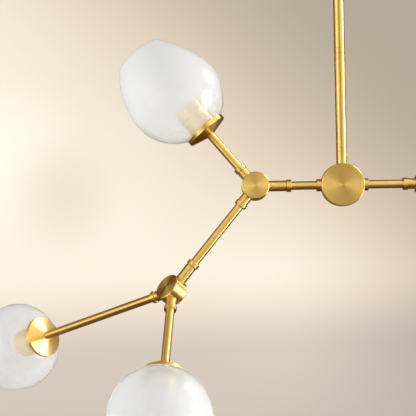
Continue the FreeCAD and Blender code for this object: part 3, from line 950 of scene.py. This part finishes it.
@dataclass(frozen=True)
class Patch:
    """A soft round patch of painted light on the backdrop where its gain is over 1, and of painted shade
    where it is under 1.
    """

    toward: tuple[float, float, float]
    reach: float
    gain: float


@dataclass(frozen=True)
class Backdrop:
    """Lit wall by direction: a warm glow that fades upward to the right, and a duller foot."""

    glow: Colour = (1.085, 1.0, 0.85)
    dusk: Colour = (1.185, 1.0, 0.80)
    foot: Colour = (1.14, 1.0, 0.86)
    rise_slope: float = 0.98
    foot_slope: float = -0.03
    rise: Step = Step(-0.082, 0.35, 0.888, 0.401)
    near_foot: Step = Step(-0.121, -0.039, 0.673, 1.0)
    deep_foot: Step = Step(-0.30, -0.12, 0.80, 1.0)
    warmth: Step = Step(0.60, 0.95, 0.0, 1.0)
    foot_tint: Step = Step(0.70, 0.95, 1.0, 0.0)
    # painted pools of light and shade on the backdrop
    patches: tuple[Patch, ...] = (
        Patch((-0.19, 0.98, 0.06), 0.10, 1.12), Patch((-0.135, 0.99, 0.038), 0.07, 0.86),
        Patch((0.10, 0.99, -0.045), 0.14, 1.12), Patch((0.19, 0.98, -0.20), 0.16, 0.90))

    def colour(self, board: NodeBoard, toward: Socket, split: bpy.types.Node) -> Socket:
        """Colour of the wall.

        Args:
            board: the world's nodes.
            toward: the direction looked in.
            split: the same direction, split into X, Y and Z.

        Returns:
            The colour's socket.
        """
        across, height = split.outputs["X"], split.outputs["Z"]
        tilted = board.math("MULTIPLY_ADD", across, self.foot_slope, height)
        near_foot, deep_foot = self.near_foot.of(board, tilted), self.deep_foot.of(board, tilted)
        level = self.rise.of(board, board.math("MULTIPLY_ADD", across, self.rise_slope, height))
        level = board.math("MULTIPLY", board.math("MULTIPLY", level, near_foot), deep_foot)
        # each patch scales the wall's level: painted light where its gain is over 1, painted shade where it
        # is under 1
        for patch in self.patches:
            away = board.vector("DISTANCE", toward, patch.toward).outputs["Value"]
            gain = Step(0.0, patch.reach, patch.gain, 1.0).of(board, away)
            level = board.math("MULTIPLY", level, gain)
        warm = board.blend("RGBA", self.warmth.of(board, level), self.dusk, self.glow)
        tint = board.blend("RGBA", self.foot_tint.of(board, near_foot), warm, self.foot)
        lit = board.vector("SCALE", tint)
        board.put(lit.inputs["Scale"], level)
        return lit.outputs["Vector"]


@dataclass(frozen=True)
class MirrorRoom:
    """What the metal mirrors: pale walls at the sides and overhead, dark in front, below and behind."""

    dark: Colour = (0.100, 0.046, 0.010)
    pale: Colour = (1.18, 1.04, 0.62)
    wall_colour: Colour = (1.085, 1.0, 0.85)
    front_share: float = 0.22
    sides: Step = Step(0.10, 0.45, 0.0, 0.85)
    overhead: Step = Step(0.18, 0.60, 0.0, 0.70)
    zenith: Step = Step(0.84, 0.97, 1.0, 0.2)
    underside: Step = Step(-0.50, -0.05, 0.04, 1.0)
    behind: Step = Step(0.0, 0.28, 1.0, 0.06)
    wall: Step = Step(0.965, 1.0, 0.0, 0.8)
    high: Step = Step(0.20, 0.45, 0.0, 1.0)
    left: Step = Step(-0.35, 0.05, 1.0, 0.0)
    high_left_loss: float = 0.75

    def colour(self, board: NodeBoard, split: bpy.types.Node) -> Socket:
        """Colour of the room.

        Args:
            board: the world's nodes.
            split: the direction looked in, split into X, Y and Z.

        Returns:
            The colour's socket.
        """
        across, depth, height = (split.outputs[axis] for axis in "XYZ")
        sides = self.sides.of(board, board.math("ABSOLUTE", across))
        above = self.overhead.of(board, height)
        share = board.math("ADD", board.math("ADD", sides, above), self.front_share)
        high_left = board.math("MULTIPLY", self.high.of(board, height), self.left.of(board, across))
        kept = (self.zenith.of(board, height), self.underside.of(board, height),
                self.behind.of(board, depth),
                board.math("MULTIPLY_ADD", high_left, -self.high_left_loss, 1.0))
        for part in kept:
            share = board.math("MULTIPLY", share, part)
        room = board.blend("RGBA", share, self.dark, self.pale)
        return board.blend("RGBA", self.wall.of(board, depth), room, self.wall_colour)


@dataclass(frozen=True)
class Softbox:
    """A flat rectangular lamp aimed at the light's centre."""

    name: str
    place: tuple[float, float, float]
    size: tuple[float, float]
    watts: float
    colour: Colour = (1.0, 1.0, 1.0)


@dataclass(frozen=True)
class Studio:
    """Camera, lamps, floor and the warm pale surroundings."""

    bones: Skeleton
    eye: tuple[float, float, float] = (-0.2106, -1.5678, -0.0600)
    pitch: float = 1.06
    roll: float = -1.04
    yaw: float = 0.34
    focal_pixels: float = 1050.0
    picture_pixels: float = 416.0
    sensor_mm: float = 36.0
    sight: tuple[float, float] = (0.05, 60.0)
    lamps_aim_x: float = -0.05
    floor_z: float = -2.15
    floor_reach: float = 3.2
    floor_thickness: float = 0.01
    floor_segments: int = 96
    floor_fade: tuple[float, float] = (0.35, 0.97)
    floor_colour: Colour = (0.80, 0.755, 0.69)
    floor_roughness: float = 0.85
    ambient: Colour = (0.90, 0.92, 0.95)
    ambient_strength: float = 0.80

    def build(self) -> None:
        """Set up everything round the object."""
        self._camera()
        self._world()
        self._floor()
        for box in self._softboxes():
            self._lamp(box)

    def _softboxes(self) -> tuple[Softbox, ...]:
        """Lamps: a big key low at the right, a smaller one high behind it and a fill at the left."""
        z = self.bones.center_z
        return (
            Softbox("key_softbox", (1.92, -0.40, z - 0.30), (1.05, 1.80), 30.0, (1.0, 0.99, 0.96)),
            Softbox("high_softbox", (1.47, 0.45, z + 1.28), (0.75, 0.85), 14.0, (1.0, 0.99, 0.96)),
            Softbox("fill_softbox", (-1.75, -1.05, z + 0.15), (0.9, 1.5), 5.5, (1.0, 0.98, 0.94)),
        )

    def _camera(self) -> None:
        """Camera at the photo's viewing angle."""
        pitch, roll, yaw = (math.radians(angle) for angle in (self.pitch, self.roll, self.yaw))
        ahead = Vector((math.sin(yaw) * math.cos(pitch), math.cos(yaw) * math.cos(pitch), math.sin(pitch)))
        level = Vector((math.cos(yaw), -math.sin(yaw), 0.0))
        rise = level.cross(ahead)
        across = math.cos(roll) * level + math.sin(roll) * rise
        upward = -math.sin(roll) * level + math.cos(roll) * rise
        lens = bpy.data.cameras.new("camera")
        lens.sensor_width = self.sensor_mm
        lens.lens = self.focal_pixels * self.sensor_mm / self.picture_pixels
        lens.clip_start, lens.clip_end = self.sight
        camera = bpy.data.objects.new("camera", lens)
        bpy.context.scene.collection.objects.link(camera)
        turned = Matrix((across, upward, -ahead)).transposed().to_4x4()
        eye = Vector(self.eye) + Vector((0.0, 0.0, self.bones.center_z))
        camera.matrix_world = Matrix.Translation(eye) @ turned
        bpy.context.scene.camera = camera
        LOG.info("camera at %s", tuple(round(value, 4) for value in eye))

    def _world(self) -> None:
        """Surroundings: a backdrop for the eye, a room for the mirrored light, even light for the rest."""
        world = bpy.data.worlds.new("surroundings")
        world.use_nodes = True
        bpy.context.scene.world = world
        board = NodeBoard(world.node_tree)
        shown = world.node_tree.nodes["Background"]
        out = world.node_tree.nodes["World Output"]
        toward = board.add("ShaderNodeTexCoord").outputs["Generated"]
        split = board.add("ShaderNodeSeparateXYZ")
        board.put(split.inputs[0], toward)
        backdrop = Backdrop().colour(board, toward, split)
        room = MirrorRoom().colour(board, split)
        ray = board.add("ShaderNodeLightPath")
        glossy, passing = ray.outputs["Is Glossy Ray"], ray.outputs["Is Transmission Ray"]
        mirrored = board.math("SUBTRACT", glossy, passing, clamp=True)
        board.put(shown.inputs["Color"], board.blend("RGBA", mirrored, backdrop, room))
        shown.inputs["Strength"].default_value = 1.0
        even = board.add("ShaderNodeBackground")
        even.inputs["Color"].default_value = (*self.ambient, 1.0)
        even.inputs["Strength"].default_value = self.ambient_strength
        direct = board.math("ADD", ray.outputs["Is Camera Ray"], glossy)
        seen = board.math("ADD", direct, passing, clamp=True)
        both = board.add("ShaderNodeMixShader")
        board.put(both.inputs[0], seen)
        board.put(both.inputs[1], even.outputs[0])
        board.put(both.inputs[2], shown.outputs[0])
        board.put(out.inputs["Surface"], both.outputs[0])

    def _floor(self) -> None:
        """Pale round floor that fades out at its rim."""
        reach, depth = self.floor_reach, -self.floor_thickness
        slab = [(0.0, 0.0), (reach, 0.0), (reach, depth), (0.0, depth)]
        mesh = turned_mesh("floor", slab, self.floor_segments)
        floor = bpy.data.objects.new("floor", mesh)
        bpy.context.scene.collection.objects.link(floor)
        floor.location = (0.0, 0.0, self.floor_z)
        floor.visible_glossy = False
        made = bpy.data.materials.new("pale_floor")
        made.use_nodes = True
        board = NodeBoard(made.node_tree)
        shader = made.node_tree.nodes["Principled BSDF"]
        point = board.add("ShaderNodeTexCoord").outputs["Object"]
        away = board.vector("LENGTH", point).outputs["Value"]
        shader.inputs["Base Color"].default_value = (*self.floor_colour, 1.0)
        shader.inputs["Roughness"].default_value = self.floor_roughness
        back = board.add("ShaderNodeNewGeometry").outputs["Backfacing"]
        fade = board.spread(away, *(reach * share for share in self.floor_fade), 1.0, 0.0)
        split = board.add("ShaderNodeSeparateXYZ")
        board.put(split.inputs[0], board.add("ShaderNodeNewGeometry").outputs["Normal"])
        upper = board.math("GREATER_THAN", split.outputs["Z"], 0.5)
        top_only = board.math("MULTIPLY", upper, board.math("SUBTRACT", 1.0, back))
        board.put(shader.inputs["Alpha"], board.math("MULTIPLY", fade, top_only))
        mesh.materials.append(made)

    def _lamp(self, box: Softbox) -> None:
        """One softbox, aimed at the centre hub."""
        data = bpy.data.lights.new(box.name, "AREA")
        data.shape = "RECTANGLE"
        data.size, data.size_y = box.size
        data.energy = box.watts
        data.color = box.colour
        lamp = bpy.data.objects.new(box.name, data)
        bpy.context.scene.collection.objects.link(lamp)
        aim = Vector((self.lamps_aim_x, 0.0, self.bones.center_z)) - Vector(box.place)
        aimed = aim.to_track_quat("-Z", "Y").to_matrix().to_4x4()
        lamp.matrix_world = Matrix.Translation(box.place) @ aimed
        lamp.visible_camera = False


def main() -> None:
    """Dress the CAD frame, blow the bubbles and light the studio."""
    logging.basicConfig(level=logging.INFO, format="%(name)s: %(message)s")
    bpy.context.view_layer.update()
    bones = Skeleton()
    Studio(bones).build()
    CeilingGroup().build()
    Stem(bones).build()
    bubbles = hand_blown()
    for side in Side:
        for outer in (False, True):
            BranchHub(bones, side, outer).build()
        for place in Place:
            LampEnd(bones, side, place, bubbles[side, place]).build()
    bpy.context.scene.view_settings.view_transform = "Standard"
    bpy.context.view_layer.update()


if __name__ == "__main__":
    main()
